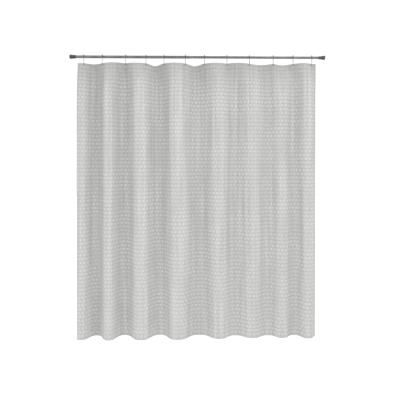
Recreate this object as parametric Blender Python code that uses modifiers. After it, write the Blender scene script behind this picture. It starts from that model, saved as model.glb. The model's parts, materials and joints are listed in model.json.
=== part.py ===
"""Shower curtain hung by twelve roller rings on a telescoping spring tension rod.

The origin is the centre of the left end cap's wall face. +X runs along the rod to the right end
cap, +Y runs away from the room towards the bath, and +Z is up. All sizes are in metres.

Pieces: two rubber end caps, the outer and the inner rod tube, the nylon plug, spring and stop
inside the rod, twelve rings, and the cloth. The cloth is one sheet on the real object. Here it is
sixteen curved panels that meet at its fold lines, where the sheet bends when it is drawn.
"""

import math

import bmesh
import bpy
import numpy as np

# Rod
ROD_LENGTH = 1.6995
OUTER_TUBE_RADIUS = 0.009
OUTER_TUBE_WALL = 0.0007
INNER_TUBE_WALL = 0.0007
SLIDING_GAP = 0.0004
OUTER_TUBE_SHARE = 0.4716
TUBE_OVERLAP = 0.28
TUBE_STEPS = 24

# End caps: a rubber cup, wider at the wall than at its mouth
CAP_LENGTH = 0.038
CAP_WALL_RUBBER = 0.0045
CAP_MOUTH_RUBBER = 0.0022
CAP_FLOOR = 0.006
CAP_LIP = 0.0012

# Nylon plug on the inner tube's hidden end, and the spring behind it
PLUG_LENGTH = 0.03
PLUG_SPIGOT = 0.02
STOP_LENGTH = 0.012
SPRING_LENGTH = 0.11
SPRING_TURNS = 11
SPRING_WIRE_RADIUS = 0.0007
SPRING_CLEARANCE = 0.0016
SPRING_POINTS_PER_TURN = 8

# Rings: a wire hoop with roller beads along its top
RING_RADIUS = 0.034
WIRE_RADIUS = 0.0015
BEAD_RADIUS = 0.003
BEAD_COUNT = 5
BEAD_PITCH_DEG = 22.0
HOOP_POINTS = 17
# How far the rings turn about the vertical, fanning out from the middle of the cloth
RING_FAN_DEG_PER_M = 26.0

# Cloth
CURTAIN_DROP = 1.8288
FULLNESS = 1.1519
LEFT_MARGIN = 0.051
RIGHT_MARGIN = 0.0608
CLOTH_THICKNESS = 0.0014
HEADER_BOW = 0.022
HEADER_DEPTH = 0.025
SETTLING_DEPTH = 0.42
EYELET_WIDTH = 0.006
EYELET_HEIGHT = 0.0112
EYELET_SLACK = 0.0006
EDGE_ABOVE_EYELET = 0.011
PANEL_COLUMNS = 8
SETTLING_ROWS = (0.08, 0.2, 0.36, 0.58, 1.0)

# Gap between pieces that touch, and half the gap between two cloth panels
TOUCH_GAP = 0.0003
PANEL_INSET = 0.0006

# How the cloth happens to hang: the share of the hung width at each fold line, from the left,
# where the folds stand alternately forward and back, and at each ring
FOLD_SHARES = (
    0.016, 0.075, 0.13, 0.19, 0.265, 0.34, 0.415, 0.51, 0.595, 0.66, 0.735, 0.80, 0.86, 0.912, 0.965,
)
# How far each fold line stands out, against a fold of middling depth
FOLD_HEIGHTS = (0.95, 1.15, 1.2, 1.2, 1.2, 1.2, 1.15, 1.1, 0.85, 0.75, 0.6, 0.65, 0.62, 0.7, 1.0)
# How broad the folds are: 0 is a plain cosine, 1 has the broadest backs and steepest flanks
FOLD_FLATNESS = 0.7
RING_SHARES = (0.025, 0.102, 0.20, 0.285, 0.36, 0.45, 0.53, 0.625, 0.72, 0.82, 0.904, 0.984)
# Which way the top edge bows between neighbouring rings: -1 into the room, +1 towards the bath.
# The first and the last are the free ends beyond the outer rings.
HEADER_BOWS = (-1, 1, -1, -1, 1, -1, 1, -1, -1, 1, 1, -1, 1)

# Sizes that follow from those above
OUTER_BORE = OUTER_TUBE_RADIUS - OUTER_TUBE_WALL
INNER_TUBE_RADIUS = OUTER_BORE - SLIDING_GAP
INNER_BORE = INNER_TUBE_RADIUS - INNER_TUBE_WALL
OUTER_TUBE_END = ROD_LENGTH * OUTER_TUBE_SHARE
INNER_TUBE_START = OUTER_TUBE_END - TUBE_OVERLAP
CAP_WALL_RADIUS = OUTER_TUBE_RADIUS + CAP_WALL_RUBBER
CAP_MOUTH_RADIUS = OUTER_TUBE_RADIUS + CAP_MOUTH_RUBBER
SPRING_RADIUS = OUTER_BORE - SPRING_CLEARANCE - SPRING_WIRE_RADIUS
HUNG_WIDTH = ROD_LENGTH - LEFT_MARGIN - RIGHT_MARGIN
CLOTH_LEFT = LEFT_MARGIN
FLAT_WIDTH = HUNG_WIDTH * FULLNESS
RING_CENTRE = OUTER_TUBE_RADIUS + TOUCH_GAP + BEAD_RADIUS - RING_RADIUS
RING_BOTTOM = RING_CENTRE - RING_RADIUS
EYELET_TOP = RING_BOTTOM + WIRE_RADIUS + EYELET_SLACK
CLOTH_TOP = EYELET_TOP + EDGE_ABOVE_EYELET

COLLECTION_NAME = "shower_curtain"
CUTTERS_NAME = "cutters"


def clear_scene():
    """Remove every object, so that the script starts from an empty scene."""
    for obj in list(bpy.data.objects):
        bpy.data.objects.remove(obj, do_unlink=True)


def new_collection(name):
    """Return a new collection linked to the scene."""
    collection = bpy.data.collections.new(name)
    bpy.context.scene.collection.children.link(collection)
    return collection


def material(name, colour, roughness, metallic):
    """Return the named Principled material, making it the first time."""
    found = bpy.data.materials.get(name)
    if found:
        return found
    made = bpy.data.materials.new(name)
    made.use_nodes = True
    shader = made.node_tree.nodes["Principled BSDF"]
    shader.inputs["Base Color"].default_value = (*colour, 1.0)
    shader.inputs["Roughness"].default_value = roughness
    shader.inputs["Metallic"].default_value = metallic
    return made


def rubber():
    return material("end_cap_rubber", (0.06, 0.06, 0.06), 0.6, 0.0)


def rod_steel():
    return material("rod_steel", (0.35, 0.35, 0.36), 0.22, 1.0)


def ring_steel():
    return material("ring_steel", (0.75, 0.75, 0.76), 0.12, 1.0)


def spring_steel():
    return material("spring_steel", (0.45, 0.45, 0.46), 0.4, 1.0)


def nylon():
    return material("nylon", (0.75, 0.75, 0.72), 0.5, 0.0)


def cloth_fabric():
    return material("curtain_fabric", (0.62, 0.61, 0.6), 0.9, 0.0)


def add_object(name, data, finish, collection):
    """Link a new object that holds data, with its own material slot."""
    obj = bpy.data.objects.new(name, data)
    data.materials.append(finish)
    collection.objects.link(obj)
    return obj


def turned(name, outline, closed, finish, collection, steps=TUBE_STEPS):
    """Turn an outline of (radius, height) points about the local Z axis.

    The outline runs down its outer side. A closed outline makes a hollow ring, and an open one
    starts and ends on the axis.
    """
    mesh = bpy.data.meshes.new(name)
    points = [(radius, 0.0, height) for radius, height in outline]
    edges = [(i, i + 1) for i in range(len(points) - 1)]
    if closed:
        edges.append((len(points) - 1, 0))
    mesh.from_pydata(points, edges, [])
    obj = add_object(name, mesh, finish, collection)
    screw = obj.modifiers.new("turn", "SCREW")
    screw.steps = steps
    screw.render_steps = steps
    screw.use_merge_vertices = True
    screw.merge_threshold = 0.00001
    screw.use_smooth_shade = True
    return obj


def lay_along_rod(obj, x, towards=1):
    """Put the object's local Z on the rod's axis, pointing right (1) or left (-1), from x."""
    obj.location = (x, 0.0, 0.0)
    obj.rotation_euler = (0.0, towards * math.pi / 2, 0.0)


def end_cap(name, tube_radius, x, towards, collection):
    """Rubber cup over a tube's end, closed and flat at the wall."""
    bore = tube_radius + TOUCH_GAP
    outline = (
        (0.0, CAP_FLOOR),
        (bore, CAP_FLOOR),
        (bore, CAP_LENGTH),
        (CAP_MOUTH_RADIUS - CAP_LIP, CAP_LENGTH),
        (CAP_MOUTH_RADIUS, CAP_LENGTH - CAP_LIP),
        (CAP_MOUTH_RADIUS, CAP_LENGTH * 0.6),
        (CAP_WALL_RADIUS, CAP_FLOOR),
        (CAP_WALL_RADIUS, CAP_LIP),
        (CAP_WALL_RADIUS - CAP_LIP, 0.0),
        (0.0, 0.0),
    )
    cap = turned(name, outline, False, rubber(), collection)
    lay_along_rod(cap, x, towards)
    return cap


def tube(name, radius, bore, start, end, collection):
    """Straight steel tube on the rod's axis."""
    length = end - start
    outline = ((bore, 0.0), (bore, length), (radius, length), (radius, 0.0))
    made = turned(name, outline, True, rod_steel(), collection)
    lay_along_rod(made, start)
    return made


def lock_plug(collection):
    """Nylon plug pushed into the inner tube's hidden end, which grips the outer tube's bore."""
    spigot = INNER_BORE - TOUCH_GAP
    head = OUTER_BORE - TOUCH_GAP
    head_length = PLUG_LENGTH - PLUG_SPIGOT
    outline = (
        (0.0, PLUG_LENGTH),
        (spigot, PLUG_LENGTH),
        (spigot, head_length),
        (head, head_length),
        (head, 0.0),
        (0.0, 0.0),
    )
    plug = turned("lock_plug", outline, False, nylon(), collection)
    lay_along_rod(plug, INNER_TUBE_START - head_length - TOUCH_GAP)
    return plug


def spring_ends():
    """Return the x at which the spring's two end coils stop."""
    head_length = PLUG_LENGTH - PLUG_SPIGOT
    right = INNER_TUBE_START - head_length - 2 * TOUCH_GAP - SPRING_WIRE_RADIUS
    return right - SPRING_LENGTH, right


def tension_spring(collection):
    """Coil spring that pushes the plug and the stop apart, inside the outer tube."""
    left, right = spring_ends()
    count = SPRING_TURNS * SPRING_POINTS_PER_TURN + 1
    curve = bpy.data.curves.new("tension_spring", "CURVE")
    curve.dimensions = "3D"
    curve.bevel_depth = SPRING_WIRE_RADIUS
    curve.bevel_resolution = 1
    curve.use_fill_caps = True
    spline = curve.splines.new("POLY")
    spline.points.add(count - 1)
    for i, point in enumerate(spline.points):
        along = i / (count - 1)
        turn = along * SPRING_TURNS * math.tau
        y = SPRING_RADIUS * math.cos(turn)
        z = SPRING_RADIUS * math.sin(turn)
        point.co = (along * (right - left), y, z, 1.0)
    spring = add_object("tension_spring", curve, spring_steel(), collection)
    spring.location = (left, 0.0, 0.0)
    return spring


def spring_stop(collection):
    """Nylon disc behind the spring."""
    left = spring_ends()[0]
    radius = OUTER_BORE - TOUCH_GAP
    outline = ((0.0, STOP_LENGTH), (radius, STOP_LENGTH), (radius, 0.0), (0.0, 0.0))
    stop = turned("spring_stop", outline, False, nylon(), collection)
    lay_along_rod(stop, left - SPRING_WIRE_RADIUS - TOUCH_GAP - STOP_LENGTH)
    return stop


def hoop_stations():
    """Return (angle from the top, tube radius) pairs once round a ring.

    Each bead is a ball threaded on the wire: its five stations follow a circle's outline, from
    where the ball meets the wire to its widest point and back.
    """
    reach = math.sqrt(BEAD_RADIUS**2 - WIRE_RADIUS**2)
    stations = []
    for bead in range(BEAD_COUNT):
        centre = math.radians((bead - (BEAD_COUNT - 1) / 2) * BEAD_PITCH_DEG)
        for share in (-1.0, -0.55, 0.0, 0.55, 1.0):
            offset = share * reach
            radius = math.sqrt(BEAD_RADIUS**2 - offset**2)
            stations.append((centre + offset / RING_RADIUS, radius))
    first = stations[0][0]
    last = stations[-1][0]
    bare = math.tau - (last - first)
    for i in range(1, HOOP_POINTS + 1):
        stations.append((last + bare * i / (HOOP_POINTS + 1), WIRE_RADIUS))
    return stations


def ring(number, x, collection):
    """Wire ring nearly square to the rod, at the height where its top bead rides the rod.

    That is the outer tube's top, which every ring can pass on to when the curtain is drawn.
    """
    name = f"ring_{number:02d}"
    stations = hoop_stations()
    curve = bpy.data.curves.new(name, "CURVE")
    curve.dimensions = "3D"
    curve.bevel_depth = WIRE_RADIUS
    curve.bevel_resolution = 2
    spline = curve.splines.new("POLY")
    spline.use_cyclic_u = True
    spline.points.add(len(stations) - 1)
    for point, (angle, radius) in zip(spline.points, stations):
        y = RING_RADIUS * math.sin(angle)
        z = RING_RADIUS * math.cos(angle)
        point.co = (0.0, y, z, 1.0)
        point.radius = radius / WIRE_RADIUS
    made = add_object(name, curve, ring_steel(), collection)
    made.location = (x, 0.0, RING_CENTRE)
    middle = CLOTH_LEFT + HUNG_WIDTH / 2
    made.rotation_euler = (0.0, 0.0, math.radians(RING_FAN_DEG_PER_M * (middle - x)))
    return made


def fold_lines():
    """Return the x of each fold line."""
    return np.array([CLOTH_LEFT + share * HUNG_WIDTH for share in FOLD_SHARES])


def ring_places():
    """Return the x of each ring."""
    return np.array([CLOTH_LEFT + share * HUNG_WIDTH for share in RING_SHARES])


def fold_wave(x):
    """Return the sheet's wave at x: less than nought at a forward fold line, more at a back one.

    Between two fold lines it is half a cosine from one height to the other, flattened at both
    ends so that the folds have broad backs and steep flanks. The free ends carry on with the half
    wave that they belong to, at the width of their nearest neighbour.
    """
    lines = fold_lines()
    index = np.clip(np.searchsorted(lines, x) - 1, 0, len(lines) - 2)
    start = lines[index]
    share = (x - start) / (lines[index + 1] - start)
    forward = np.where(np.arange(len(lines)) % 2 == 0, -1.0, 1.0)
    heights = forward * np.array(FOLD_HEIGHTS)
    middle = (heights[index] + heights[index + 1]) / 2
    swing = (heights[index] - heights[index + 1]) / 2
    turn = np.cos(math.pi * share)
    broad = np.sin(math.pi / 2 * turn)
    return middle + swing * (turn + FOLD_FLATNESS * (broad - turn))


def header_wave(x):
    """Return the top edge's unit bow at x: nought at each ring and half a sine between rings."""
    rings = ring_places()
    ends = np.concatenate([[CLOTH_LEFT], rings, [CLOTH_LEFT + HUNG_WIDTH]])
    index = np.clip(np.searchsorted(ends, x) - 1, 0, len(ends) - 2)
    width = ends[index + 1] - ends[index]
    share = (x - ends[index]) / width
    free = (index == 0) | (index == len(ends) - 2)
    bow = np.where(free, 0.0, np.sin(math.pi * share))
    return np.array(HEADER_BOWS)[index] * bow


def fold_depth():
    """Return the middling fold's height that takes up the sheet's flat width.

    The length of the wave grows with its height, so the height is found by halving an interval.
    """
    x = np.linspace(CLOTH_LEFT, CLOTH_LEFT + HUNG_WIDTH, 4000)
    wave = fold_wave(x)
    low, high = 0.0, HUNG_WIDTH / len(FOLD_SHARES)
    for _ in range(40):
        middle = (low + high) / 2
        length = np.hypot(np.diff(x), np.diff(wave * middle)).sum()
        low, high = (middle, high) if length < FLAT_WIDTH else (low, middle)
    return low


def sheet_points(x, below_top):
    """Return the sheet's points at x, at a depth below its top edge.

    Down to HEADER_DEPTH the cloth runs through the rod's own plane at each ring and bows between
    them. Over the next SETTLING_DEPTH the bows give way to the deeper folds.
    """
    share = np.clip((below_top - HEADER_DEPTH) / SETTLING_DEPTH, 0.0, 1.0)
    settled = 1.0 - (1.0 - share) ** 3
    bowed = HEADER_BOW * header_wave(x)
    folded = fold_depth() * fold_wave(x)
    y = (1.0 - settled) * bowed + settled * folded
    return np.stack([x, y, np.full_like(x, CLOTH_TOP - below_top)], axis=-1)


def panel_columns(left, right, columns):
    """Return evenly spaced x from left to right, with the nearest one moved to each ring."""
    x = np.linspace(left, right, columns + 1)
    for place in ring_places():
        if left < place < right:
            nearest = 1 + np.argmin(np.abs(x[1:-1] - place))
            x[nearest] = place
    return x


def panel(name, left, right, columns, collection):
    """Cloth between two places along the hung width, from the top edge to the bottom hem."""
    x = panel_columns(left + PANEL_INSET, right - PANEL_INSET, columns)
    settling = [HEADER_DEPTH + share * SETTLING_DEPTH for share in SETTLING_ROWS]
    rows = [sheet_points(x, depth) for depth in (0.0, HEADER_DEPTH, *settling, CURTAIN_DROP)]
    points = np.concatenate(rows)
    wide = columns + 1
    faces = []
    for row in range(len(rows) - 1):
        for column in range(columns):
            corner = row * wide + column
            faces.append((corner, corner + wide, corner + wide + 1, corner + 1))
    mesh = bpy.data.meshes.new(name)
    mesh.from_pydata(points.tolist(), [], faces)
    mesh.shade_smooth()
    made = add_object(name, mesh, cloth_fabric(), collection)
    thick = made.modifiers.new("thickness", "SOLIDIFY")
    thick.thickness = CLOTH_THICKNESS
    thick.offset = 0.0
    return made


def eyelet_cutter(x, top, collection):
    """Box that cuts one buttonhole right through the folds' depth."""
    mesh = bpy.data.meshes.new("eyelet_cutter")
    shape = bmesh.new()
    bmesh.ops.create_cube(shape, size=1.0)
    size = (EYELET_WIDTH, 4 * HEADER_BOW, EYELET_HEIGHT)
    bmesh.ops.scale(shape, vec=size, verts=shape.verts)
    shape.to_mesh(mesh)
    shape.free()
    cutter = bpy.data.objects.new("eyelet_cutter", mesh)
    collection.objects.link(cutter)
    cutter.location = (x, 0.0, top - EYELET_HEIGHT / 2)
    cutter.hide_render = True
    cutter.display_type = "WIRE"
    return cutter


def cut_eyelets(panels, collection):
    """Cut a buttonhole in each panel that a ring passes through."""
    for x in ring_places():
        cutter = eyelet_cutter(x, EYELET_TOP, collection)
        for obj, left, right in panels:
            if left - EYELET_WIDTH / 2 < x < right + EYELET_WIDTH / 2:
                cut = obj.modifiers.new("eyelet", "BOOLEAN")
                cut.operation = "DIFFERENCE"
                cut.solver = "EXACT"
                cut.object = cutter


def curtain(collection, cutters):
    """The whole sheet: a free edge, a panel between each two fold lines, and a free edge."""
    lines = fold_lines()
    right_edge = CLOTH_LEFT + HUNG_WIDTH
    names = ["curtain_left_edge"]
    names += [f"curtain_panel_{i + 1:02d}" for i in range(len(lines) - 1)]
    names += ["curtain_right_edge"]
    places = [CLOTH_LEFT, *lines, right_edge]
    panels = []
    for name, left, right in zip(names, places[:-1], places[1:]):
        columns = PANEL_COLUMNS if "panel" in name else PANEL_COLUMNS // 2
        panels.append((panel(name, left, right, columns, collection), left, right))
    cut_eyelets(panels, cutters)
    return panels


def rod(collection):
    """The tension rod: its tubes, end caps and the works inside."""
    tube("outer_tube", OUTER_TUBE_RADIUS, OUTER_BORE, CAP_FLOOR + TOUCH_GAP, OUTER_TUBE_END, collection)
    right = ROD_LENGTH - CAP_FLOOR - TOUCH_GAP
    tube("inner_tube", INNER_TUBE_RADIUS, INNER_BORE, INNER_TUBE_START, right, collection)
    end_cap("left_end_cap", OUTER_TUBE_RADIUS, 0.0, 1, collection)
    end_cap("right_end_cap", INNER_TUBE_RADIUS, ROD_LENGTH, -1, collection)
    lock_plug(collection)
    tension_spring(collection)
    spring_stop(collection)


def main():
    """Build the whole object."""
    clear_scene()
    collection = new_collection(COLLECTION_NAME)
    cutters = new_collection(CUTTERS_NAME)
    rod(collection)
    for number, x in enumerate(ring_places(), start=1):
        ring(number, x, collection)
    curtain(collection, cutters)


main()
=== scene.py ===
"""Looks for a shower curtain that hangs by roller rings on a spring tension rod.

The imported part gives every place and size. This script dresses its hidden works, and makes the
cloth, the stitching, the rings, the tubes and the end caps again with their fine surface.
Lengths are in metres. +X runs along the rod, -Y faces the room and +Z is up.
"""

import json
import logging
import math
from dataclasses import dataclass
from enum import Enum
from typing import Any, Sequence

import bpy
import numpy as np
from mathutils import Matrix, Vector

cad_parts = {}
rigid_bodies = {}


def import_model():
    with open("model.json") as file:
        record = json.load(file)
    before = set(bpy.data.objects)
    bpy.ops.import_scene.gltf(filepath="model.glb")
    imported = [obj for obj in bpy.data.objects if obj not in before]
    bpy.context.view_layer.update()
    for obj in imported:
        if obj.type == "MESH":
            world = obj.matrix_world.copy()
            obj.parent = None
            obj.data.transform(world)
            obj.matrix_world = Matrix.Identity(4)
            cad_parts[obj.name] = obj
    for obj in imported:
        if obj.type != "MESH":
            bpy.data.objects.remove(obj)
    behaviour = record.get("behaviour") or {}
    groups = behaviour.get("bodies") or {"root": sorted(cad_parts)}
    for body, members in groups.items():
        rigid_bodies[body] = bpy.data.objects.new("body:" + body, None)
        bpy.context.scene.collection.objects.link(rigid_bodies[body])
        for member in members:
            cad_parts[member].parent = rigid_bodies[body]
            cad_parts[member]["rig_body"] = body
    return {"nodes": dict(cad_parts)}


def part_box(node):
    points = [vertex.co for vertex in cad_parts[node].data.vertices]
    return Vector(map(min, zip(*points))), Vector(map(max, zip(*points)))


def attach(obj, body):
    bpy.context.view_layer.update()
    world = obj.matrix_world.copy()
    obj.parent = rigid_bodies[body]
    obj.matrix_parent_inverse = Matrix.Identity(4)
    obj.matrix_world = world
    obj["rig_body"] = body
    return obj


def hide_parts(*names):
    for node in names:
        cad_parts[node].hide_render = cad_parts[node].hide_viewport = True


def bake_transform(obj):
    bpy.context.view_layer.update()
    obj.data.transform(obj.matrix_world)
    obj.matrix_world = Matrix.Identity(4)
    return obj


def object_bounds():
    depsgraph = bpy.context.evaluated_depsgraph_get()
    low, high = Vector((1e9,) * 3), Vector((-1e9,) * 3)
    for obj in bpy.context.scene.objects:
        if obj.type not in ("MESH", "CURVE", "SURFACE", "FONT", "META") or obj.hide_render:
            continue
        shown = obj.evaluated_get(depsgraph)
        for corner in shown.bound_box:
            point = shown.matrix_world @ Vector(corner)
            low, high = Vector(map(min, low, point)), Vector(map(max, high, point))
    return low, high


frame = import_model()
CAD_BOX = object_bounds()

LOG = logging.getLogger("shower_curtain")
Array = np.ndarray
TURN = 2 * math.pi
CUT_SIZE = 1.8288  # the sheet is cut square, and this is its width and its height
CELL = 0.0254  # the weave's pitch, across the sheet and down it


# ---------------------------------------------------------------------------------------------
# Shader maths
# ---------------------------------------------------------------------------------------------


class Value:
    """A shader output that takes part in arithmetic, each step adding one Math node."""

    def __init__(self, graph: "Graph", link: bpy.types.NodeSocket) -> None:
        """Wrap an output socket.

        Args:
            graph: the material's graph, which adds the nodes.
            link: the output socket that holds the value.
        """
        self.graph = graph
        self.link = link

    def _math(self, operation: str, *values: Any) -> "Value":
        """Add one Math node that works on these values in order."""
        return self.graph.node("ShaderNodeMath", {"operation": operation}, dict(enumerate(values)))

    def __add__(self, other: Any) -> "Value":
        """Return self + other."""
        return self._math("ADD", self, other)

    def __radd__(self, other: Any) -> "Value":
        """Return other + self."""
        return self._math("ADD", other, self)

    def __sub__(self, other: Any) -> "Value":
        """Return self - other."""
        return self._math("SUBTRACT", self, other)

    def __rsub__(self, other: Any) -> "Value":
        """Return other - self."""
        return self._math("SUBTRACT", other, self)

    def __mul__(self, other: Any) -> "Value":
        """Return self * other."""
        return self._math("MULTIPLY", self, other)

    def __rmul__(self, other: Any) -> "Value":
        """Return other * self."""
        return self._math("MULTIPLY", other, self)

    def __truediv__(self, other: Any) -> "Value":
        """Return self / other."""
        return self._math("DIVIDE", self, other)

    def __pow__(self, other: Any) -> "Value":
        """Return self to the power of other."""
        return self._math("POWER", self, other)

    def cosine(self) -> "Value":
        """Return the cosine of this angle in radians."""
        return self._math("COSINE", self)

    def step_up(self, low: float, high: float) -> "Value":
        """Return a smooth step.

        Args:
            low: where the step is still 0.
            high: where it has reached 1.

        Returns:
            The value as a share from low to high, clamped and eased at both ends.
        """
        settings = {"interpolation_type": "SMOOTHSTEP"}
        inputs = {"Value": self, "From Min": low, "From Max": high}
        return self.graph.node("ShaderNodeMapRange", settings, inputs)


class Graph:
    """The node tree of one material, ending in a Principled shader."""

    def __init__(self, name: str) -> None:
        """Start a material.

        Args:
            name: the material's name.
        """
        self.material = bpy.data.materials.new(name)
        self.material.use_nodes = True
        self.tree = self.material.node_tree
        self.shader = self.tree.nodes["Principled BSDF"]

    def node(
        self,
        kind: str,
        settings: dict[str, Any] | None = None,
        inputs: dict[Any, Any] | None = None,
        output: Any = 0,
    ) -> Value:
        """Add any node.

        Args:
            kind: the node's type.
            settings: attributes that are set first. "stops" fills a colour ramp.
            inputs: a value or a Value for each input, by its name or its number.
            output: the output to return, by its name or its number.

        Returns:
            The node's output.
        """
        made = self.tree.nodes.new(kind)
        for key, value in (settings or {}).items():
            if key == "stops":
                self._fill_ramp(made, value)
            else:
                setattr(made, key, value)
        for key, value in (inputs or {}).items():
            self._feed(made.inputs[key], value)
        return Value(self, made.outputs[output])

    def _fill_ramp(self, ramp: bpy.types.Node, stops: Sequence[tuple[float, tuple]]) -> None:
        """Place a colour ramp's stops."""
        elements = ramp.color_ramp.elements
        while len(elements) < len(stops):
            elements.new(0.5)
        for element, (place, colour) in zip(elements, stops):
            element.position = place
            element.color = colour

    def _feed(self, socket: bpy.types.NodeSocket, value: Any) -> None:
        """Link a Value to the socket, or set a plain value on it."""
        if isinstance(value, Value):
            self.tree.links.new(value.link, socket)
        else:
            socket.default_value = value

    def object_place(self, scale: tuple[float, float, float] = (1.0, 1.0, 1.0)) -> Value:
        """Return the object's coordinates, stretched by scale."""
        place = self.node("ShaderNodeTexCoord", output="Object")
        return self.node("ShaderNodeMapping", {}, {"Vector": place, "Scale": scale})

    def noise(self, place: Value, scale: float, detail: float = 3.0) -> Value:
        """Return a noise value from 0 to 1 at a place."""
        inputs = {"Vector": place, "Scale": scale, "Detail": detail, "Roughness": 0.55}
        return self.node("ShaderNodeTexNoise", {}, inputs)

    def mix_colour(self, share: Value, low: tuple, high: tuple) -> Value:
        """Return a colour between low and high.

        Args:
            share: 0 gives low and 1 gives high.
            low: the first colour, as red, green and blue.
            high: the second colour.

        Returns:
            The mixed colour.
        """
        inputs = {0: share, 6: (*low, 1.0), 7: (*high, 1.0)}
        return self.node("ShaderNodeMix", {"data_type": "RGBA"}, inputs, output=2)

    def bump(self, height: Value, strength: float, distance: float) -> Value:
        """Return a normal bent by a height.

        Args:
            height: the height, in shares of distance.
            strength: how much of it to use.
            distance: the height that a value of 1 stands for, in metres.

        Returns:
            The normal.
        """
        inputs = {"Height": height, "Strength": strength, "Distance": distance}
        return self.node("ShaderNodeBump", {}, inputs)

    def finish(self, **sockets: Any) -> bpy.types.Material:
        """Feed the Principled shader and return the material.

        Args:
            **sockets: a value for each socket, with _ for each space in its name.

        Returns:
            The material.
        """
        for key, value in sockets.items():
            self._feed(self.shader.inputs[key.replace("_", " ")], value)
        return self.material


# ---------------------------------------------------------------------------------------------
# Finishes
# ---------------------------------------------------------------------------------------------


class Slot(Enum):
    """The record's material slots."""

    CAP = "end_cap_rubber"
    ROD = "rod_steel"
    RING = "ring_steel"
    SPRING = "spring_steel"
    NYLON = "nylon"
    CLOTH = "curtain_fabric"


@dataclass(frozen=True)
class DrawnSteel:
    """Satin steel with fine lines along X, as on a drawn tube."""

    name: str = "rod_satin_steel"
    dark: tuple = (0.105, 0.105, 0.108)
    light: tuple = (0.2, 0.2, 0.203)
    roughness: float = 0.27

    def build(self) -> bpy.types.Material:
        """Return the material."""
        graph = Graph(self.name)
        lines = graph.noise(graph.object_place((6.0, 900.0, 900.0)), 1.0, 4.0)
        smudges = graph.noise(graph.object_place(), 14.0, 2.0)
        share = (lines * 0.4 + smudges * 0.6).step_up(0.3, 0.7)
        tone = graph.mix_colour(share, self.dark, self.light)
        dull = smudges.step_up(0.45, 0.75) * 0.12 + lines * 0.1 + self.roughness
        normal = graph.bump(lines, 0.25, 0.00005)
        return graph.finish(Base_Color=tone, Metallic=1.0, Roughness=dull, Normal=normal)


@dataclass(frozen=True)
class PolishedSteel:
    """Bright wire and balls, with faint rub marks."""

    name: str = "ring_polished_steel"
    dark: tuple = (0.12, 0.12, 0.123)
    light: tuple = (0.2, 0.2, 0.203)
    roughness: float = 0.13

    def build(self) -> bpy.types.Material:
        """Return the material."""
        graph = Graph(self.name)
        rubs = graph.noise(graph.object_place(), 160.0, 3.0)
        film = graph.noise(graph.object_place(), 24.0, 2.0)
        tone = graph.mix_colour(film.step_up(0.35, 0.7), self.light, self.dark)
        dull = rubs.step_up(0.55, 0.8) * 0.16 + self.roughness
        return graph.finish(Base_Color=tone, Metallic=1.0, Roughness=dull)


@dataclass(frozen=True)
class SpringSteel:
    """Oiled spring wire."""

    name: str = "spring_oiled_steel"
    dark: tuple = (0.2, 0.19, 0.18)
    light: tuple = (0.42, 0.42, 0.42)

    def build(self) -> bpy.types.Material:
        """Return the material."""
        graph = Graph(self.name)
        oil = graph.noise(graph.object_place(), 90.0, 3.0)
        tone = graph.mix_colour(oil.step_up(0.35, 0.65), self.dark, self.light)
        return graph.finish(Base_Color=tone, Metallic=1.0, Roughness=0.3 + oil * 0.2)


@dataclass(frozen=True)
class CapRubber:
    """Moulded dark rubber, with a fine grain and a paler bloom."""

    name: str = "cap_rubber"
    dark: tuple = (0.028, 0.028, 0.029)
    bloom: tuple = (0.075, 0.074, 0.072)

    def build(self) -> bpy.types.Material:
        """Return the material."""
        graph = Graph(self.name)
        grain = graph.noise(graph.object_place(), 1400.0, 2.0)
        dust_and_painted_shade = graph.noise(graph.object_place(), 60.0, 4.0)
        tone = graph.mix_colour(dust_and_painted_shade.step_up(0.42, 0.75), self.dark, self.bloom)
        normal = graph.bump(grain, 0.35, 0.00012)
        return graph.finish(Base_Color=tone, Roughness=0.5 + dust_and_painted_shade * 0.25, Normal=normal)


@dataclass(frozen=True)
class Nylon:
    """Natural nylon with a faint moulding swirl."""

    name: str = "nylon_natural"
    dark: tuple = (0.66, 0.65, 0.6)
    light: tuple = (0.78, 0.78, 0.74)

    def build(self) -> bpy.types.Material:
        """Return the material."""
        graph = Graph(self.name)
        swirl = graph.noise(graph.object_place(), 120.0, 3.0)
        tone = graph.mix_colour(swirl, self.dark, self.light)
        return graph.finish(Base_Color=tone, Roughness=0.4 + swirl * 0.15)


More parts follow.
